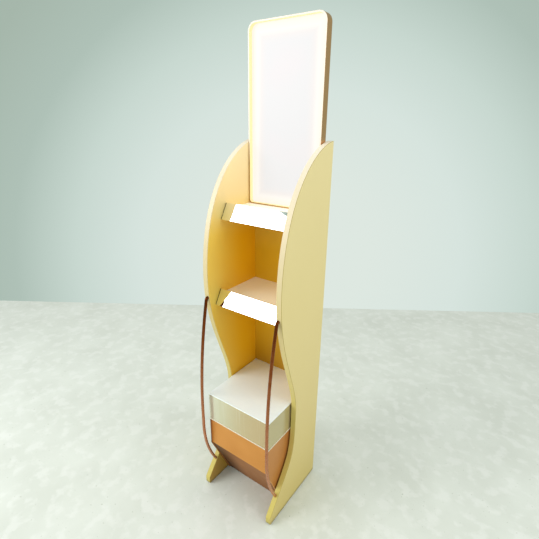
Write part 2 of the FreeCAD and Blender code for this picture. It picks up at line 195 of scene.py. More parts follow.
@dataclass(frozen=True)
class PanelLacquer(RolledLacquer):
    """Cream-yellow lacquer of the side panels."""

    # The outer faces are plain cream, painted darker towards the foot and paler towards the
    # tip as painted light; the rounded front edges are painted creamier, near white at the tip,
    # as a painted highlight, with a thin darker line at the outer arris as painted shade; the
    # inner faces are painted golden yellow as painted shade and light bounced off the yellow
    # paint, pale at the top where the lit sheet shines on them and darkest in the lower back;
    # the soles are painted darker in blotches as painted contact shade.
    colour: str = "#DCCC92"
    shadow: str = "#D7C688"
    outer: tuple[tuple[float, str], ...] = ((0.0, "#C7AF50"), (0.3, "#D9C581"),
                                            (0.65, "#E2D090"), (1.0, "#ECDBA2"))
    edge: tuple[tuple[float, str], ...] = ((0.0, "#D0BE62"), (0.3, "#D8C672"),
                                           (0.6, "#DAC78C"), (0.85, "#E8D7B4"),
                                           (1.0, "#FAEFD8"))
    inner: tuple[tuple[float, str], ...] = ((0.0, "#B08C38"), (0.2, "#CFA844"),
                                            (0.32, "#F0CC58"), (0.77, "#FFE06C"),
                                            (0.87, "#FFE4A6"), (1.0, "#FFEAB8"))
    recess_shade: str = "#F8C51C"
    sole_shade: str = "#6A5B2B"
    line: str = "#B7A45C"
    inner_face: float = 0.1532
    outer_face: float = 0.1736
    line_width: float = 0.0012
    tip: float = 1.447
    recess: tuple[float, float] = (-0.1, 0.1)
    unlit: tuple[float, float] = (1.2, 1.08)
    sole: tuple[float, float] = (0.02, 0.003)
    blotch_mm: float = 9.0
    cloud_share: float = 0.6

    def tone(self, tree: Tree, place: Socket) -> Socket:
        """Blend the painted light and shade by height and by face, with painted shade at the sole.
        """
        parts = add_node(tree, "SeparateXYZ", links={"Vector": place}).outputs
        side = add_node(tree, "Math", {"operation": "ABSOLUTE"}, {0: parts["X"]}).outputs[0]
        level = add_node(tree, "MapRange", {"From Min": 0.0, "From Max": self.tip},
                         {"Value": parts["Z"]}).outputs["Result"]
        # Painted light by height: outer faces and edges paler towards the tip, inner faces lit at
        # the top by the sheet and darker lower down.
        outer, edge, inner = (add_node(tree, "ValToRGB", {"stops": stops}, {"Fac": level})
                              for stops in (self.outer, self.edge, self.inner))
        clouds = add_node(tree, "Mix", {"data_type": "RGBA", 0: self.cloud_share},
                          {6: RolledLacquer.tone(self, tree, place), 7: outer.outputs["Color"]})
        back = add_node(tree, "MapRange",
                        {"interpolation_type": "SMOOTHSTEP", "From Min": self.recess[0],
                         "From Max": self.recess[1]},
                        {"Value": parts["Y"]})
        below = add_node(tree, "MapRange",
                         {"interpolation_type": "SMOOTHSTEP", "From Min": self.unlit[0],
                          "From Max": self.unlit[1]},
                         {"Value": parts["Z"]})
        # Painted shade: the inner faces turn a darker golden towards the back of the lower
        # compartments.
        recess = add_node(tree, "Math", {"operation": "MULTIPLY"},
                          {0: back.outputs["Result"], 1: below.outputs["Result"]})
        golden = add_node(tree, "Mix", {"data_type": "RGBA", 7: self.recess_shade},
                          {0: recess.outputs[0], 6: inner.outputs["Color"]})
        past_inner = add_node(tree, "Math", {"operation": "GREATER_THAN", 1: self.inner_face},
                              {0: side})
        past_outer = add_node(tree, "Math", {"operation": "GREATER_THAN", 1: self.outer_face},
                              {0: side})
        face = add_node(tree, "Math", {"operation": "GREATER_THAN",
                                       1: self.outer_face + self.line_width}, {0: side})
        body = add_node(tree, "Mix", {"data_type": "RGBA"},
                        {0: past_inner.outputs[0], 6: golden.outputs[2], 7: edge.outputs["Color"]})
        # A thin darker line along the outer arris is painted shade.
        body = add_node(tree, "Mix", {"data_type": "RGBA", 7: self.line},
                        {0: past_outer.outputs[0], 6: body.outputs[2]})
        body = add_node(tree, "Mix", {"data_type": "RGBA"},
                        {0: face.outputs[0], 6: body.outputs[2], 7: clouds.outputs[2]})
        # Blotches of painted contact shade darken the panels just above the floor.
        sole = add_node(tree, "MapRange",
                        {"interpolation_type": "SMOOTHSTEP", "From Min": self.sole[0],
                         "From Max": self.sole[1]},
                        {"Value": parts["Z"]})
        blotches = add_node(tree, "TexNoise", {"Scale": per_size(self.blotch_mm), "Detail": 3.0},
                          {"Vector": place})
        shaded_sole = add_node(tree, "Math", {"operation": "MULTIPLY"},
                          {0: sole.outputs["Result"], 1: blotches.outputs["Fac"]})
        return add_node(tree, "Mix", {"data_type": "RGBA", 7: self.sole_shade},
                        {0: shaded_sole.outputs[0], 6: body.outputs[2]}).outputs[2]


@dataclass(frozen=True)
class BackLacquer(RolledLacquer):
    """The same lacquer on the back board."""

    # The face that looks into the compartments gets the golden yellow of the inner panel
    # faces, painted shade and bounced light, painted darker still further down as painted
    # shade; the rear is the plain cream.
    colour: str = "#DCCC92"
    shadow: str = "#D3C284"
    inner: tuple[tuple[float, str], ...] = ((0.0, "#B8860F"), (0.35, "#F0C022"),
                                            (0.75, "#E6BA20"), (1.0, "#ECC656"))
    front_face: float = 0.1677
    foot: float = 0.45
    top: float = 1.2

    def tone(self, tree: Tree, place: Socket) -> Socket:
        """Painted shade on the face that looks into the compartments, darker further down."""
        parts = add_node(tree, "SeparateXYZ", links={"Vector": place}).outputs
        front = add_node(tree, "Math", {"operation": "LESS_THAN", 1: self.front_face},
                         {0: parts["Y"]})
        # Painted shade: the compartment face darkens towards the foot.
        level = add_node(tree, "MapRange", {"From Min": self.foot, "From Max": self.top},
                         {"Value": parts["Z"]})
        golden = add_node(tree, "ValToRGB", {"stops": self.inner},
                          {"Fac": level.outputs["Result"]})
        return add_node(tree, "Mix", {"data_type": "RGBA"},
                        {0: front.outputs[0], 6: RolledLacquer.tone(self, tree, place),
                         7: golden.outputs["Color"]}).outputs[2]


@dataclass(frozen=True)
class LitLacquer(RolledLacquer):
    """White lacquer close under the light box."""

    # The boards are given a faint warm glow, painted light that stands for the light the lit sheet
    # spills on them.
    glow: float = 0.3

    def surface(self, tree: Tree, place: Socket) -> Node:
        """The plain lacquer with a faint warm glow of painted light."""
        shader = RolledLacquer.surface(self, tree, place)
        shader.inputs["Emission Color"].default_value = srgb("#FFF3E2")
        shader.inputs["Emission Strength"].default_value = self.glow
        return shader


@dataclass(frozen=True)
class SilveredStrip(Finish):
    """Silvered acrylic strip with sawn ends."""

    # Cast sheet is flat, so it mirrors cleanly with a slow ripple of 90 mm; at the sawn
    # ends its dark backing paint shows.
    silver: str = "#F6F8F7"
    backing: str = "#3A3418"
    end: float = 0.1492
    ripple_mm: float = 90.0

    def surface(self, tree: Tree, place: Socket) -> Node:
        """Mirror, with its backing paint showing at the two ends."""
        parts = add_node(tree, "SeparateXYZ", links={"Vector": place}).outputs
        side = add_node(tree, "Math", {"operation": "ABSOLUTE"}, {0: parts["X"]})
        at_end = add_node(tree, "Math", {"operation": "GREATER_THAN", 1: self.end},
                          {0: side.outputs[0]})
        tone = add_node(tree, "Mix", {"data_type": "RGBA", 6: self.silver, 7: self.backing},
                        {0: at_end.outputs[0]})
        shiny = add_node(tree, "Math", {"operation": "SUBTRACT", 0: 1.0}, {1: at_end.outputs[0]})
        ripple = add_node(tree, "TexNoise", {"Scale": per_size(self.ripple_mm), "Detail": 1.0},
                          {"Vector": place})
        return add_node(tree, "BsdfPrincipled", {"Roughness": 0.03},
                        {"Base Color": tone.outputs[2], "Metallic": shiny.outputs[0],
                         "Normal": self.relief(tree, ripple.outputs["Fac"], 0.05, 0.25)})


@dataclass(frozen=True)
class BrushedMetal(Finish):
    """Brushed and tinted metal."""

    # A belt leaves long fine scratches along one axis. They are drawn wider than real, so
    # that they show at this size.
    colour: str = "#D6A06E"
    scratch: str = "#E8B685"
    along: Axis = Axis.Z
    roughness: float = 0.34
    scratch_mm: float = 1.2
    stretch: float = 0.02

    def surface(self, tree: Tree, place: Socket) -> Node:
        """Scratches show in the colour, in the gloss and in the relief."""
        scale = [1.0, 1.0, 1.0]
        scale[self.along.value] = self.stretch
        drawn = add_node(tree, "Mapping", {"Scale": scale}, {"Vector": place})
        lines = add_node(tree, "TexNoise", {"Scale": per_size(self.scratch_mm), "Detail": 2.0},
                         {"Vector": drawn.outputs["Vector"]}).outputs["Fac"]
        tone = add_node(tree, "Mix", {"data_type": "RGBA", 6: self.colour, 7: self.scratch},
                        {0: lines})
        gloss = add_node(tree, "MapRange", {"From Min": NOISE_LOW, "From Max": NOISE_HIGH,
                                            "To Min": self.roughness - 0.06,
                                            "To Max": self.roughness + 0.06}, {"Value": lines})
        return add_node(tree, "BsdfPrincipled", {"Metallic": 1.0},
                        {"Base Color": tone.outputs[2], "Roughness": gloss.outputs["Result"],
                         "Normal": self.relief(tree, lines, 0.05, 0.3)})


@dataclass(frozen=True)
class SpilledLight(Finish):
    """Bronze lacquer where the light of the lit sheet spills on it."""

    # The edge is painted pale towards the top and given a glow, painted light that stands for
    # the light of the lamps behind the rim; lower down, between the panels, the same edge
    # stays brown.
    high: str = "#ECDDCE"
    low: str = "#A8813F"
    from_height: float = 1.36
    to_height: float = 1.46
    glow: float = 0.22

    def surface(self, tree: Tree, place: Socket) -> Node:
        """Painted light: a tone that turns pale with height, and glows by as much."""
        parts = add_node(tree, "SeparateXYZ", links={"Vector": place}).outputs
        level = add_node(tree, "MapRange", {"From Min": self.from_height,
                                            "From Max": self.to_height}, {"Value": parts["Z"]})
        specks = add_node(tree, "TexNoise", {"Scale": per_size(2.0), "Detail": 2.0},
                          {"Vector": place})
        tone = add_node(tree, "ValToRGB", {"stops": ((0.0, self.low), (1.0, self.high))},
                        {"Fac": level.outputs["Result"]})
        return add_node(tree, "BsdfPrincipled",
                        {"Roughness": 0.4, "Emission Strength": self.glow},
                        {"Base Color": tone.outputs["Color"],
                         "Emission Color": tone.outputs["Color"],
                         "Normal": self.relief(tree, specks.outputs["Fac"], 0.03, 0.3)})


@dataclass(frozen=True)
class LitOpal(Finish):
    """Opal acrylic sheet lit from its rim."""

    # The sheet scatters the light of the strips, so it is brightest and warmest along the
    # rim and softer over the last 70 mm to the middle, with faint pinkish clouds.
    half_width: float = 0.1468
    bottom: float = 1.2122
    top: float = 1.8148
    reach: float = 0.07
    cloud_mm: float = 180.0
    glow: float = 0.93
    stops: tuple[tuple[float, str], ...] = ((0.0, "#FFF9EC"), (0.3, "#FFFBF4"),
                                            (0.65, "#F5F0ED"), (1.0, "#F0EFEF"))

    def surface(self, tree: Tree, place: Socket) -> Node:
        """The glow falls off with the distance from the nearest edge."""
        parts = add_node(tree, "SeparateXYZ", links={"Vector": place}).outputs
        side = add_node(tree, "Math", {"operation": "ABSOLUTE"}, {0: parts["X"]})
        to_side = add_node(tree, "Math", {"operation": "SUBTRACT", 0: self.half_width},
                           {1: side.outputs[0]})
        to_foot = add_node(tree, "Math", {"operation": "SUBTRACT", 1: self.bottom},
                           {0: parts["Z"]})
        to_top = add_node(tree, "Math", {"operation": "SUBTRACT", 0: self.top}, {1: parts["Z"]})
        to_end = add_node(tree, "Math", {"operation": "MINIMUM"},
                          {0: to_foot.outputs[0], 1: to_top.outputs[0]})
        rim = add_node(tree, "Math", {"operation": "MINIMUM"},
                       {0: to_side.outputs[0], 1: to_end.outputs[0]})
        fall = add_node(tree, "MapRange", {"interpolation_type": "SMOOTHSTEP",
                                           "From Min": 0.0, "From Max": self.reach},
                        {"Value": rim.outputs[0]})
        glow = add_node(tree, "ValToRGB", {"stops": self.stops},
                        {"Fac": fall.outputs["Result"]})
        clouds = add_node(tree, "TexNoise", {"Scale": per_size(self.cloud_mm), "Detail": 1.0},
                          {"Vector": place})
        veil = add_node(tree, "MapRange", {"From Min": 0.5, "From Max": 0.75, "To Max": 0.35},
                        {"Value": clouds.outputs["Fac"]})
        tinted = add_node(tree, "Mix", {"data_type": "RGBA", 7: "#F8EDEE"},
                          {0: veil.outputs["Result"], 6: glow.outputs["Color"]})
        return add_node(tree, "BsdfPrincipled",
                        {"Base Color": "#484848", "Roughness": 0.35, "Specular IOR Level": 0.2,
                         "Emission Strength": self.glow}, {"Emission Color": tinted.outputs[2]})


@dataclass(frozen=True)
class CopperSkin(Finish):
    """Copper-coloured metallic laminate pressed on board."""

    # Fine flakes lie under a satin coat, drawn at 1.1 mm so that they show, with broad
    # clouds where the press was uneven; a board may be painted darker towards one end as
    # painted shade.
    colour: str = "#E09A48"
    flake: str = "#D48E3E"
    shaded_end: str = "#E09A48"
    shade_from: float = 0.0
    shade_to: float = -0.14
    metallic: float = 0.5
    roughness: float = 0.38
    flake_mm: float = 1.1
    cloud_mm: float = 120.0

    def surface(self, tree: Tree, place: Socket) -> Node:
        """Flakes and clouds in the colour, clouds in the gloss, and painted shade towards one end.
        """
        flakes = add_node(tree, "TexNoise", {"Scale": per_size(self.flake_mm), "Detail": 1.0},
                          {"Vector": place}).outputs["Fac"]
        clouds = add_node(tree, "TexNoise", {"Scale": per_size(self.cloud_mm), "Detail": 2.0},
                          {"Vector": place}).outputs["Fac"]
        both = add_node(tree, "Math", {"operation": "MULTIPLY"}, {0: flakes, 1: clouds})
        share = add_node(tree, "MapRange", {"From Min": 0.1, "From Max": 0.4},
                         {"Value": both.outputs[0]})
        tone = add_node(tree, "Mix", {"data_type": "RGBA", 6: self.colour, 7: self.flake},
                        {0: share.outputs["Result"]})
        parts = add_node(tree, "SeparateXYZ", links={"Vector": place}).outputs
        # Painted shade darkens the board towards one end along x.
        shaded = add_node(tree, "MapRange", {"interpolation_type": "SMOOTHSTEP",
                                           "From Min": self.shade_from, "From Max": self.shade_to},
                        {"Value": parts["X"]})
        tone = add_node(tree, "Mix", {"data_type": "RGBA", 7: self.shaded_end},
                        {0: shaded.outputs["Result"], 6: tone.outputs[2]})
        gloss = add_node(tree, "MapRange", {"From Min": NOISE_LOW, "From Max": NOISE_HIGH,
                                            "To Min": self.roughness - 0.05,
                                            "To Max": self.roughness + 0.05}, {"Value": clouds})
        return add_node(tree, "BsdfPrincipled", {"Metallic": self.metallic},
                        {"Base Color": tone.outputs[2], "Roughness": gloss.outputs["Result"],
                         "Normal": self.relief(tree, flakes, 0.03, 0.3)})


@dataclass(frozen=True)
class CopperRod(Finish):
    """Copper-plated steel bar, lacquered, darker towards the top."""

    # The colour runs down the bar from dark brown at the top to rosy copper at the foot,
    # with small clouded stains where hands have held it.
    stops: tuple[tuple[float, str], ...] = ((0.0, "#D69C7A"), (0.4, "#B87A58"),
                                            (0.75, "#8A4C28"), (1.0, "#6E3512"))
    foot: float = 0.1
    top: float = 0.9
    stain_mm: float = 14.0
    polish: tuple[float, float] = (0.2, 0.32)

    def surface(self, tree: Tree, place: Socket) -> Node:
        """Darker with height, with stains in the colour and the gloss."""
        parts = add_node(tree, "SeparateXYZ", links={"Vector": place}).outputs
        stains = add_node(tree, "TexNoise", {"Scale": per_size(self.stain_mm), "Detail": 3.0},
                          {"Vector": place}).outputs["Fac"]
        level = add_node(tree, "MapRange", {"From Min": self.foot, "From Max": self.top},
                         {"Value": parts["Z"]})
        sway = add_node(tree, "MapRange", {"From Min": 0.2, "From Max": 0.8, "To Min": -0.08,
                                           "To Max": 0.08}, {"Value": stains})
        share = add_node(tree, "Math", {"operation": "ADD"},
                         {0: level.outputs["Result"], 1: sway.outputs["Result"]})
        tone = add_node(tree, "ValToRGB", {"stops": self.stops}, {"Fac": share.outputs[0]})
        gloss = add_node(tree, "MapRange", {"From Min": NOISE_LOW, "From Max": NOISE_HIGH,
                                            "To Min": self.polish[0],
                                            "To Max": self.polish[1]}, {"Value": stains})
        return add_node(tree, "BsdfPrincipled", {"Metallic": 1.0},
                        {"Base Color": tone.outputs["Color"],
                         "Roughness": gloss.outputs["Result"],
                         "Normal": self.relief(tree, stains, 0.03, 0.3)})


@dataclass(frozen=True)
class TintedAcrylic(Finish):
    """Champagne half-mirror acrylic sheet."""

    # The sheet's champagne tint is painted pale silver at the left and warm at the right, as
    # painted reflection of the pale floor and the yellow panels, with soft pale upright
    # streaks, also painted reflection; the right flank gets a darker tone as painted shade,
    # and a slow ripple of 60 mm bends the gloss.
    stops: tuple[tuple[float, str], ...] = ((0.0, "#D6D9C2"), (0.06, "#E0E0C8"),
                                            (0.2, "#D6D3B5"), (0.6, "#CDBC92"),
                                            (1.0, "#C8B184"))
    flank: str = "#C8BC90"
    left: float = -0.149
    right: float = 0.1487
    roughness: float = 0.18
    ripple_mm: float = 60.0
    streak_mm: float = 7.0
    streak_stretch: float = 0.03

    def surface(self, tree: Tree, place: Socket) -> Node:
        """Painted reflection warms the tint to the right and adds pale streaks; the ripple is
        relief.
        """
        parts = add_node(tree, "SeparateXYZ", links={"Vector": place}).outputs
        along = add_node(tree, "MapRange", {"From Min": self.left, "From Max": self.right},
                         {"Value": parts["X"]})
        front = add_node(tree, "ValToRGB", {"stops": self.stops},
                         {"Fac": along.outputs["Result"]})
        drawn = add_node(tree, "Mapping", {"Scale": (1.0, 1.0, self.streak_stretch)},
                         {"Vector": place})
        streaks = add_node(tree, "TexNoise", {"Scale": per_size(self.streak_mm), "Detail": 2.0},
                           {"Vector": drawn.outputs["Vector"]})
        veil = add_node(tree, "MapRange", {"From Min": 0.55, "From Max": 0.75, "To Max": 0.3},
                        {"Value": streaks.outputs["Fac"]})
        streaked = add_node(tree, "Mix", {"data_type": "RGBA", 7: "#F4F4E8"},
                            {0: veil.outputs["Result"], 6: front.outputs["Color"]})
        # The right flank's darker tone is painted shade.
        at_flank = add_node(tree, "Math", {"operation": "GREATER_THAN", 1: self.right},
                            {0: parts["X"]})
        tone = add_node(tree, "Mix", {"data_type": "RGBA", 7: self.flank},
                        {0: at_flank.outputs[0], 6: streaked.outputs[2]})
        ripple = add_node(tree, "TexNoise", {"Scale": per_size(self.ripple_mm), "Detail": 1.0},
                          {"Vector": place})
        return add_node(tree, "BsdfPrincipled", {"Metallic": 0.5, "Roughness": self.roughness},
                        {"Base Color": tone.outputs[2],
                         "Normal": self.relief(tree, ripple.outputs["Fac"], 0.15, 0.3)})


@dataclass(frozen=True)
class CastAcrylic(Finish):
    """Cast acrylic sheet with polished edges."""

    # The sheet is milky with a faint haze of 25 mm, and its flame polish is a little
    # uneven, so highlights break up softly.
    colour: str = "#FFF8E4"
    fleck: str = "#FAF0D8"
    through: float = 0.2
    haze_mm: float = 25.0
    polish: tuple[float, float] = (0.12, 0.22)

    def surface(self, tree: Tree, place: Socket) -> Node:
        """A milky body with a polish that is a little uneven."""
        haze = add_node(tree, "TexNoise", {"Scale": per_size(self.haze_mm), "Detail": 2.0},
                        {"Vector": place}).outputs["Fac"]
        tone = add_node(tree, "Mix", {"data_type": "RGBA", 6: self.colour, 7: self.fleck},
                        {0: haze})
        gloss = add_node(tree, "MapRange", {"From Min": NOISE_LOW, "From Max": NOISE_HIGH,
                                            "To Min": self.polish[0],
                                            "To Max": self.polish[1]}, {"Value": haze})
        return add_node(tree, "BsdfPrincipled",
                        {"IOR": 1.49, "Transmission Weight": self.through},
                        {"Base Color": tone.outputs[2], "Roughness": gloss.outputs["Result"]})


@dataclass(frozen=True)
class MouldedPlastic(Finish):
    """Moulded nylon, rubber or polythene."""

    # The eroded mould leaves a fine even grain of 0.8 mm that dulls the highlights.
    colour: str = "#1A1A1A"
    grain: str = "#242424"
    roughness: float = 0.55
    grain_mm: float = 0.8

    def surface(self, tree: Tree, place: Socket) -> Node:
        """The grain shows in the colour and in the relief."""
        grain = add_node(tree, "TexNoise", {"Scale": per_size(self.grain_mm), "Detail": 2.0},
                         {"Vector": place}).outputs["Fac"]
        tone = add_node(tree, "Mix", {"data_type": "RGBA", 6: self.colour, 7: self.grain},
                        {0: grain})
        return add_node(tree, "BsdfPrincipled", {"Roughness": self.roughness},
                        {"Base Color": tone.outputs[2],
                         "Normal": self.relief(tree, grain, 0.08, 0.4)})


@dataclass(frozen=True)
class RawFibreboard(Finish):
    """Sawn fibreboard without a coat."""

    # The saw leaves short matted fibres of about 3 mm and a dusty, matte face.
    colour: str = "#A88A62"
    fibre: str = "#8F7149"

    def surface(self, tree: Tree, place: Socket) -> Node:
        """Fibres in the colour and in the relief."""
        fibres = add_node(tree, "TexNoise", {"Scale": per_size(3.0), "Detail": 6.0},
                          {"Vector": place}).outputs["Fac"]
        tone = add_node(tree, "Mix", {"data_type": "RGBA", 6: self.colour, 7: self.fibre},
                        {0: fibres})
        return add_node(tree, "BsdfPrincipled", {"Roughness": 0.85},
                        {"Base Color": tone.outputs[2],
                         "Normal": self.relief(tree, fibres, 0.2, 0.5)})


@dataclass(frozen=True)
class LightStrip(Finish):
    """Warm white light strip under its moulded diffuser."""

    # The small lamps sit 8 mm apart and show through the diffuser as brighter spots.
    def surface(self, tree: Tree, place: Socket) -> Node:
        """Spots in the glow and in the body."""
        spots = add_node(tree, "TexNoise", {"Scale": per_size(8.0), "Detail": 0.0},
                         {"Vector": place}).outputs["Fac"]
        glow = add_node(tree, "Mix", {"data_type": "RGBA", 6: "#FFF1D2", 7: "#FFE3B0"},
                        {0: spots})
        body = add_node(tree, "Mix", {"data_type": "RGBA", 6: "#F6F0E2", 7: "#EDE4CE"},
                        {0: spots})
        return add_node(tree, "BsdfPrincipled", {"Roughness": 0.4, "Emission Strength": 1.5},
                        {"Base Color": body.outputs[2], "Emission Color": glow.outputs[2]})


@dataclass(frozen=True)
class PlasterFloor(Finish):
    """White painted screed."""

    # Trowel sweeps of 60 mm and clouds of 250 mm mottle the paint, and chips and specks of
    # a few millimetres show the grey under it.
    colour: str = "#DEE3DB"
    shade_tone: str = "#D5DAD1"
    sweep_tone: str = "#E9ECE7"
    chip: str = "#A9B09F"

    def surface(self, tree: Tree, place: Socket) -> Node:
        """Clouds, sweeps and chips in the colour, sweeps in the relief."""
        cloud, sweep, speck = (add_node(tree, "TexNoise", {"Scale": per_size(size),
                                                           "Detail": detail},
                                        {"Vector": place}).outputs["Fac"]
                               for size, detail in ((250.0, 5.0), (60.0, 6.0), (11.0, 4.0)))
        shade = add_node(tree, "MapRange", {"From Min": 0.35, "From Max": 0.65},
                         {"Value": cloud})
        body = add_node(tree, "Mix", {"data_type": "RGBA", 6: self.colour, 7: self.shade_tone},
                        {0: shade.outputs["Result"]})
        stroke = add_node(tree, "MapRange", {"From Min": 0.5, "From Max": 0.62, "To Max": 0.45},
                          {"Value": sweep})
        body = add_node(tree, "Mix", {"data_type": "RGBA", 7: self.sweep_tone},
                        {0: stroke.outputs["Result"], 6: body.outputs[2]})
        chips = add_node(tree, "MapRange", {"From Min": 0.68, "From Max": 0.74, "To Max": 0.8},
                         {"Value": speck})
        body = add_node(tree, "Mix", {"data_type": "RGBA", 7: self.chip},
                        {0: chips.outputs["Result"], 6: body.outputs[2]})
        return add_node(tree, "BsdfPrincipled", {"Roughness": 0.6},
                        {"Base Color": body.outputs[2],
                         "Normal": self.relief(tree, sweep, 1.2, 0.35)})


PANEL = PanelLacquer("rolled cream lacquer")
BACK = BackLacquer("rolled lacquer on the back board")
# Both boards under the lit sheet glow faintly, painted light from the sheet.
LIT_BOARD = LitLacquer("white lacquer under the lit sheet", colour="#FFFBF2", shadow="#FAF4E8")
SHELF_BOARD = LitLacquer("white lacquer in the compartment", colour="#FFFAEA",
                         shadow="#FAF3DE", glow=0.07)
WHITE_BOARD = RolledLacquer("white lacquer", colour="#FBF4E0", shadow="#F4ECD6")
# The downward faces of the white boards get a golden tone, painted light bounced off the yellow
# panels.
BOUNCE_LIT_BOARD = RolledLacquer("white lacquer with painted bounce light", colour="#DDBB62", shadow="#D2AF55")
RAW_BOARD = RawFibreboard("sawn fibreboard")
MIRROR = SilveredStrip("silvered acrylic")
BRONZE = BrushedMetal("brushed bronze")
# The ring's front edge and inner wall are painted pale and glowing, painted light from the strips.
RIM = SpilledLight("lit bronze edge")
WALL = SpilledLight("lit inner wall", high="#EBDCA6", low="#F3DFA6", glow=0.35)
OPAL = LitOpal("opal acrylic")
REAR_SHEET = CastAcrylic("white acrylic rear sheet", colour="#E8E8E4", fleck="#E0E0DB",
                         through=0.0)
LAMPS = LightStrip("warm light strip")
SPACER = BrushedMetal("turned aluminium", colour="#B4B4B4", scratch="#C4C4C4", along=Axis.X,
                      roughness=0.3, scratch_mm=0.6)
NYLON = MouldedPlastic("black nylon")
RUBBER = MouldedPlastic("black rubber", colour="#171717", grain="#202020", roughness=0.7)
GLIDE = MouldedPlastic("grey polythene", colour="#8C8882", grain="#96928C", roughness=0.45)
COPPER = CopperSkin("copper laminate")
# The plinth's side boards get a darker copy of the copper laminate, painted shade.
SIDE_COPPER = CopperSkin("copper laminate on the side boards", colour="#D08E4C",
                         flake="#C48240", shaded_end="#D08E4C")
# The kick gets a darker, matte copy of the copper laminate as painted shade, painted darker still
# towards its left end.
SHADED_COPPER = CopperSkin("dull copper laminate", colour="#A0662F", flake="#945A24",
                           shaded_end="#5A330C", metallic=0.0, roughness=0.6)
# The plinth's front edges are painted bright on the right board as a painted highlight and dark
# brown on the left board as painted shade.
EDGE_COPPER = CopperSkin("copper edge band with painted shade and highlight", colour="#E0A868", flake="#D49C5A",
                         shaded_end="#6E3C12", shade_from=0.1, shade_to=0.0, metallic=0.2)
ROD = CopperRod("toned copper bar")
CLEAR = CastAcrylic("clear acrylic base")
CHAMPAGNE = TintedAcrylic("champagne mirror acrylic")
WHITE_TOP = CastAcrylic("white acrylic top", colour="#F2FAFA", fleck="#ECF5F6", through=0.0)
STEEL = BrushedMetal("zinc plated steel", colour="#A9A9A2", scratch="#BDBDB4", along=Axis.X,
                     roughness=0.28, scratch_mm=0.5)
FLOOR = PlasterFloor("painted screed")


def node_object(node: str) -> Object:
    """The imported object of a node."""
    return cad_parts[node]


def coat(piece: Object, *finishes: Finish) -> None:
    """Give a piece its finishes, in the order of its faces' material numbers.

    Args:
        piece: The object to dress.
        finishes: The finishes that it gets.
    """
    if piece.data.materials:
        piece.data.materials.clear()
    for finish in finishes:
        piece.data.materials.append(finish.material())
    log.info("%s gets %s", piece.name, ", ".join(finish.name for finish in finishes))


def piece_from(mesh: bmesh.types.BMesh, name: str, *finishes: Finish) -> Object:
    """Turn a built mesh into a dressed piece that rides on the stand.

    Args:
        mesh: The built mesh, freed here.
        name: The piece's name.
        finishes: The finishes that it gets.

    Returns:
        The new object.
    """
    data = bpy.data.meshes.new(name)
    mesh.to_mesh(data)
    mesh.free()
    piece = bpy.data.objects.new(name, data)
    bpy.context.scene.collection.objects.link(piece)
    coat(piece, *finishes)
    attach(piece, "root")
    log.info("piece %s has %d faces", name, len(data.polygons))
    return piece


def eased_copy(node: str, ease_mm: float, *finishes: Finish, flat: bool = True,
               pick: Callable[[Face], int] | None = None) -> Object:
    """Replace a node by a merged copy with eased edges.

    Args:
        node: The node that the copy stands for.
        ease_mm: The width of the eased edge in millimetres.
        finishes: The finishes that the copy gets.
        flat: True where the faces are flat and may be merged first.
        pick: Gives the number of the finish for a face; all faces get the first without it.

    Returns:
        The new object.
    """
    mesh = bmesh.new()
    mesh.from_mesh(node_object(node).data)
    bmesh.ops.remove_doubles(mesh, verts=mesh.verts[:], dist=WELD)
    if flat:
        bmesh.ops.dissolve_limit(mesh, angle_limit=math.radians(FLAT_DEGREES), verts=mesh.verts[:],
                                 edges=mesh.edges[:])
    for face in mesh.faces:
        face.material_index = pick(face) if pick else 0
    sharp = [edge for edge in mesh.edges
             if len(edge.link_faces) == 2
             and edge.calc_face_angle(0.0) > math.radians(SHARP_DEGREES)]
    bmesh.ops.bevel(mesh, geom=sharp, offset=ease_mm * MM, offset_type="OFFSET", segments=2,
                    profile=0.5, affect="EDGES", material=-1, clamp_overlap=True)
    for face in mesh.faces:
        face.smooth = True
    piece = piece_from(mesh, node + "_finished", *finishes)
    modifier = piece.modifiers.new("even normals", "WEIGHTED_NORMAL")
    modifier.keep_sharp = True
    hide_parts(node)
    return piece


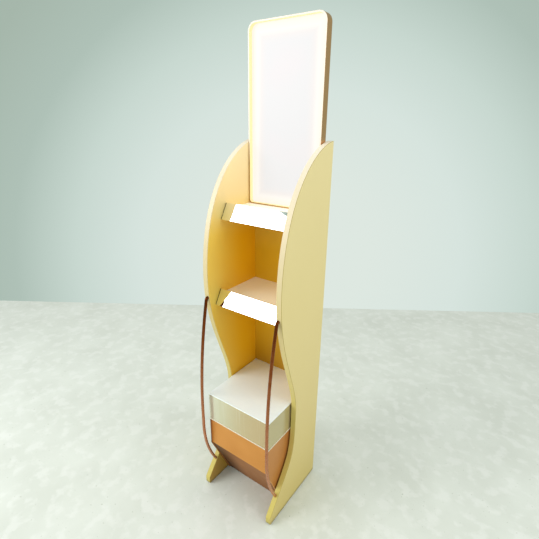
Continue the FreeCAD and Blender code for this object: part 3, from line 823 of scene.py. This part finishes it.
@dataclass
class Screws:
    """Cross-head screws driven into a face that looks along the row's +Y axis."""

    radius: float = 3.6
    dome: float = 0.6
    slot: float = 0.55
    reach: float = 1.9
    sides: int = 24

    def head(self, mesh: bmesh.types.BMesh, centre: Vector) -> None:
        """Build one head with a sunk cross.

        Args:
            mesh: The mesh that gets the head.
            centre: The middle of the head's seat in metres.
        """
        made = bmesh.ops.create_circle(mesh, cap_ends=False, segments=self.sides,
                                       radius=self.radius * MM)
        rim = made["verts"]
        rim_edges = list({edge for vert in rim for edge in vert.link_edges})
        cross = self.cross(mesh)
        bridge = bmesh.ops.bridge_loops(mesh, edges=rim_edges + cross)
        for vert in {vert for edge in cross for vert in edge.verts}:
            vert.co.z += self.dome * MM
        walls = bmesh.ops.extrude_edge_only(mesh, edges=cross)
        low = [item for item in walls["geom"] if isinstance(item, bmesh.types.BMVert)]
        bmesh.ops.translate(mesh, verts=low, vec=(0, 0, -self.dome * MM))
        low_edges = [item for item in walls["geom"] if isinstance(item, bmesh.types.BMEdge)
                     and all(vert in low for vert in item.verts)]
        bmesh.ops.contextual_create(mesh, geom=low_edges)
        verts = list({vert for face in bridge["faces"] for vert in face.verts} | set(low))
        turn = Matrix.Translation(centre) @ Matrix.Rotation(math.radians(-90), 4, "X")
        bmesh.ops.transform(mesh, matrix=turn, verts=verts)

    def cross(self, mesh: bmesh.types.BMesh) -> list[bmesh.types.BMEdge]:
        """Outline of the cross recess.

        Args:
            mesh: The mesh that gets the outline.

        Returns:
            The outline's edges.
        """
        near, far = self.slot * MM, self.reach * MM
        quarter = [Vector((far, near, 0)), Vector((near, near, 0)), Vector((near, far, 0))]
        verts = []
        for turn in range(4):
            spin = Matrix.Rotation(math.radians(90 * turn), 3, "Z")
            verts += [mesh.verts.new(spin @ point) for point in quarter]
        return [mesh.edges.new((verts[i], verts[(i + 1) % len(verts)])) for i in range(len(verts))]

    def build(self, name: str, centres: list[Vector]) -> Object:
        """Build a set of screws as one piece.

        Args:
            name: The piece's name.
            centres: The middle of each head's seat in metres.

        Returns:
            The new object.
        """
        mesh = bmesh.new()
        for centre in centres:
            self.head(mesh, centre)
        bmesh.ops.recalc_face_normals(mesh, faces=mesh.faces[:])
        piece = piece_from(mesh, name, STEEL)
        return piece


@dataclass
class SidePanels:
    """The two curved side panels and the glides under them."""

    def build(self) -> None:
        """Dress both panels and their glides."""
        for side in ("right", "left"):
            coat(node_object("side_panel_" + side), PANEL)
        coat(node_object("foot_glides"), GLIDE)


@dataclass
class BackBoard:
    """The back board, its cable grommet and its screws."""

    half_row: float = 0.12
    rows: list[float] = field(default_factory=lambda: [1.198, 0.874, 0.464, 0.345, 0.06])
    per_row: int = 4

    def build(self) -> None:
        """Dress the board and drive its screws."""
        coat(node_object("back_board"), BACK)
        coat(node_object("cable_grommet"), RUBBER)
        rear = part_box("back_board")[1][1]
        step = 2 * self.half_row / (self.per_row - 1)
        centres = [Vector((-self.half_row + step * i, rear, height))
                   for height in self.rows for i in range(self.per_row)]
        Screws(dome=0.45).build("back_board_screws", centres)


@dataclass
class Shelving:
    """Two shelves with their tilted backers and mirror strips."""

    ease_mm: float = 0.6
    strip_ease_mm: float = 0.4

    def is_low_edge(self, face: Face) -> int:
        """One for a face that looks down, painted golden as light the yellow panels bounce; zero
        otherwise.
        """
        return int(face.normal.z < -LEANING)

    def build(self) -> None:
        """Dress both levels."""
        for level, board in (("upper", LIT_BOARD), ("middle", SHELF_BOARD)):
            eased_copy("shelf_" + level, self.ease_mm, board, BOUNCE_LIT_BOARD, pick=self.is_low_edge)
            eased_copy("rail_backer_" + level, self.ease_mm, WHITE_BOARD, BOUNCE_LIT_BOARD,
                       pick=self.is_low_edge)
            eased_copy("mirror_rail_" + level, self.strip_ease_mm, MIRROR)


@dataclass
class LightBox:
    """The lit header: ring, opal face, rear sheet and what is inside."""

    ease_mm: float = 0.4
    screw_inset: float = 0.012
    screw_end: float = 0.04
    screw_rows: int = 4

    def ring_side(self, face: Face) -> int:
        """Zero for the outside, one for the front edge and two for the inner wall."""
        low, high = (Vector(corner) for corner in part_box("header_frame"))
        if face.normal.y < -ALONG:
            return 1
        inward = (low + high) / 2 - face.calc_center_median()
        inward.y = 0.0
        return 2 if abs(face.normal.y) < ACROSS and face.normal.dot(inward) > 0 else 0

    def build(self) -> None:
        """Dress the box and screw down its rear sheet."""
        eased_copy("header_frame", self.ease_mm, BRONZE, RIM, WALL, flat=False,
                   pick=self.ring_side)
        coat(node_object("header_face"), OPAL)
        coat(node_object("header_cover"), REAR_SHEET)
        coat(node_object("header_led_strips"), LAMPS)
        coat(node_object("header_standoffs"), SPACER)
        coat(node_object("header_gland"), NYLON)
        low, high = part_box("header_cover")
        side = high[0] - self.screw_inset
        first = low[2] + self.screw_end
        step = (high[2] - self.screw_end - first) / (self.screw_rows - 1)
        centres = [Vector((sign * side, high[1], first + step * row))
                   for row in range(self.screw_rows) for sign in (-1, 1)]
        Screws(radius=2.8, reach=1.5, slot=0.45).build("header_cover_screws", centres)


@dataclass
class Plinth:
    """The copper plinth between the legs."""

    ease_mm: float = 0.5

    def is_front_edge(self, face: Face) -> int:
        """One for the banded edge at the front of a side board, zero for the rest."""
        return int(face.normal.y < -LEANING)

    def build(self) -> None:
        """Dress the copper boards and the deck."""
        for side in ("right", "left"):
            eased_copy("plinth_side_" + side, self.ease_mm, SIDE_COPPER, EDGE_COPPER,
                       pick=self.is_front_edge)
        eased_copy("plinth_front", self.ease_mm, COPPER)
        eased_copy("plinth_kick", self.ease_mm, SHADED_COPPER)
        coat(node_object("plinth_deck"), RAW_BOARD)


@dataclass
class Tray:
    """The champagne tray with its clear base and white top."""

    ease_mm: float = 0.5

    def build(self) -> None:
        """Dress the tray's sheets."""
        eased_copy("tray_base", self.ease_mm, CLEAR)
        eased_copy("tray_skirt", self.ease_mm, CHAMPAGNE)
        eased_copy("tray_top", self.ease_mm, WHITE_TOP)
        coat(node_object("tray_rear_batten"), RAW_BOARD)


@dataclass
class BowRods:
    """The two bowed rods in front of the panels."""

    def build(self) -> None:
        """Dress both rods."""
        for side in ("right", "left"):
            coat(node_object("bow_rod_" + side), ROD)


@dataclass
class Viewpoint:
    """The camera that matches the picture's view."""

    place: tuple[float, float, float] = (0.80714, -1.06876, 1.50063)
    turn: float = 35.60
    pitch: float = 20.48
    roll: float = 0.65
    focal_px: float = 392.12
    picture_px: float = 539.0
    sensor: float = 36.0

    def build(self) -> None:
        """Create the camera and make it the scene's own."""
        turn, pitch, roll = (math.radians(a) for a in (self.turn, self.pitch, self.roll))
        ahead = Vector((-math.sin(turn) * math.cos(pitch), math.cos(turn) * math.cos(pitch),
                        -math.sin(pitch)))
        level = Vector((math.cos(turn), math.sin(turn), 0))
        above = level.cross(ahead)
        right = math.cos(roll) * level + math.sin(roll) * above
        up = -math.sin(roll) * level + math.cos(roll) * above
        data = bpy.data.cameras.new("viewpoint")
        data.sensor_width = self.sensor
        data.lens = self.sensor * self.focal_px / self.picture_px
        camera = bpy.data.objects.new("viewpoint", data)
        axes = Matrix((right, up, -ahead)).transposed()
        camera.matrix_world = Matrix.Translation(self.place) @ axes.to_4x4()
        bpy.context.scene.collection.objects.link(camera)
        bpy.context.scene.camera = camera


@dataclass
class Softbox:
    """One square lamp that looks at a point."""

    name: str
    place: tuple[float, float, float]
    target: tuple[float, float, float]
    width: float
    height: float
    power: float
    colour: str = "#FFFFFF"

    def build(self) -> None:
        """Create the lamp."""
        data = bpy.data.lights.new(self.name, "AREA")
        data.shape = "RECTANGLE"
        data.size = self.width
        data.size_y = self.height
        data.energy = self.power
        data.color = srgb(self.colour)[:3]
        lamp = bpy.data.objects.new(self.name, data)
        lamp.location = self.place
        aim = Vector(self.target) - Vector(self.place)
        lamp.rotation_euler = aim.to_track_quat("-Z", "Y").to_euler()
        bpy.context.scene.collection.objects.link(lamp)


@dataclass
class Studio:
    """The pale floor, the backdrop and the soft lamps."""

    turn: float = 34.05
    glow_turn: float = 31.5
    back_edge: float = 1.7507
    reach: float = 5.0
    sky: float = 0.78
    softboxes: list[Softbox] = field(default_factory=lambda: [
        Softbox("key", (-1.7, -2.0, 2.1), (0.0, 0.0, 0.8), 1.6, 1.6, 45.0),
        Softbox("side", (2.6, 0.2, 2.0), (0.0, 0.0, 1.0), 1.6, 2.0, 24.0),
    ])

    def floor(self) -> None:
        """Lay the floor, square to the view."""
        mesh = bmesh.new()
        bmesh.ops.create_grid(mesh, x_segments=1, y_segments=1, size=self.reach)
        bmesh.ops.translate(mesh, verts=mesh.verts[:], vec=(0, self.back_edge - self.reach, 0))
        bmesh.ops.rotate(mesh, cent=(0, 0, 0), verts=mesh.verts[:],
                         matrix=Matrix.Rotation(math.radians(self.turn), 3, "Z"))
        data = bpy.data.meshes.new("floor")
        mesh.to_mesh(data)
        mesh.free()
        ground = bpy.data.objects.new("floor", data)
        bpy.context.scene.collection.objects.link(ground)
        coat(ground, FLOOR)

    def backdrop(self) -> None:
        """Give the world a pale wall for the eye and an even light for the object."""
        world = bpy.data.worlds.new("backdrop")
        bpy.context.scene.world = world
        world.use_nodes = True
        tree = world.node_tree
        tree.nodes.clear()
        way = add_node(tree, "TexCoord").outputs["Generated"]
        # The wall is painted brighter around one direction and darker at the sides, a painted pool
        # of light.
        turn = math.radians(self.glow_turn)
        centre = Vector((-math.sin(turn), math.cos(turn), -0.32)).normalized()
        spot = add_node(tree, "VectorMath", {"operation": "DOT_PRODUCT", 1: centre}, {0: way})
        share = add_node(tree, "MapRange", {"From Min": 0.72, "From Max": 0.985},
                         {"Value": spot.outputs["Value"]})
        wall = add_node(tree, "ValToRGB",
                        {"stops": ((0.0, "#A6B7AB"), (0.3, "#AFC1B7"), (0.55, "#C8D8D0"),
                                   (0.78, "#D7E4DE"), (1.0, "#DEE8E1"))},
                        {"Fac": share.outputs["Result"]})
        path = add_node(tree, "LightPath").outputs
        seen = add_node(tree, "Math", {"operation": "MAXIMUM"},
                        {0: path["Is Glossy Ray"], 1: path["Is Transmission Ray"]})
        seen = add_node(tree, "Math", {"operation": "MAXIMUM"},
                        {0: path["Is Camera Ray"], 1: seen.outputs[0]})
        light = add_node(tree, "Background", {"Color": "#FBFFFB", "Strength": self.sky})
        view = add_node(tree, "Background", {"Strength": 1.0}, {"Color": wall.outputs["Color"]})
        both = add_node(tree, "MixShader", links={0: seen.outputs[0], 1: light.outputs[0],
                                                  2: view.outputs[0]})
        add_node(tree, "OutputWorld", links={"Surface": both.outputs[0]})

    def build(self) -> None:
        """Set up floor, backdrop, lamps and the view transform."""
        self.floor()
        self.backdrop()
        for softbox in self.softboxes:
            softbox.build()
        bpy.context.scene.view_settings.view_transform = "Standard"


def main() -> None:
    """Build the view, the studio and every sub-assembly in order."""
    Viewpoint().build()
    Studio().build()
    for part in (SidePanels(), BackBoard(), Shelving(), LightBox(), Plinth(), Tray(), BowRods()):
        part.build()
        log.info("built %s", type(part).__name__)


if __name__ == "__main__":
    main()
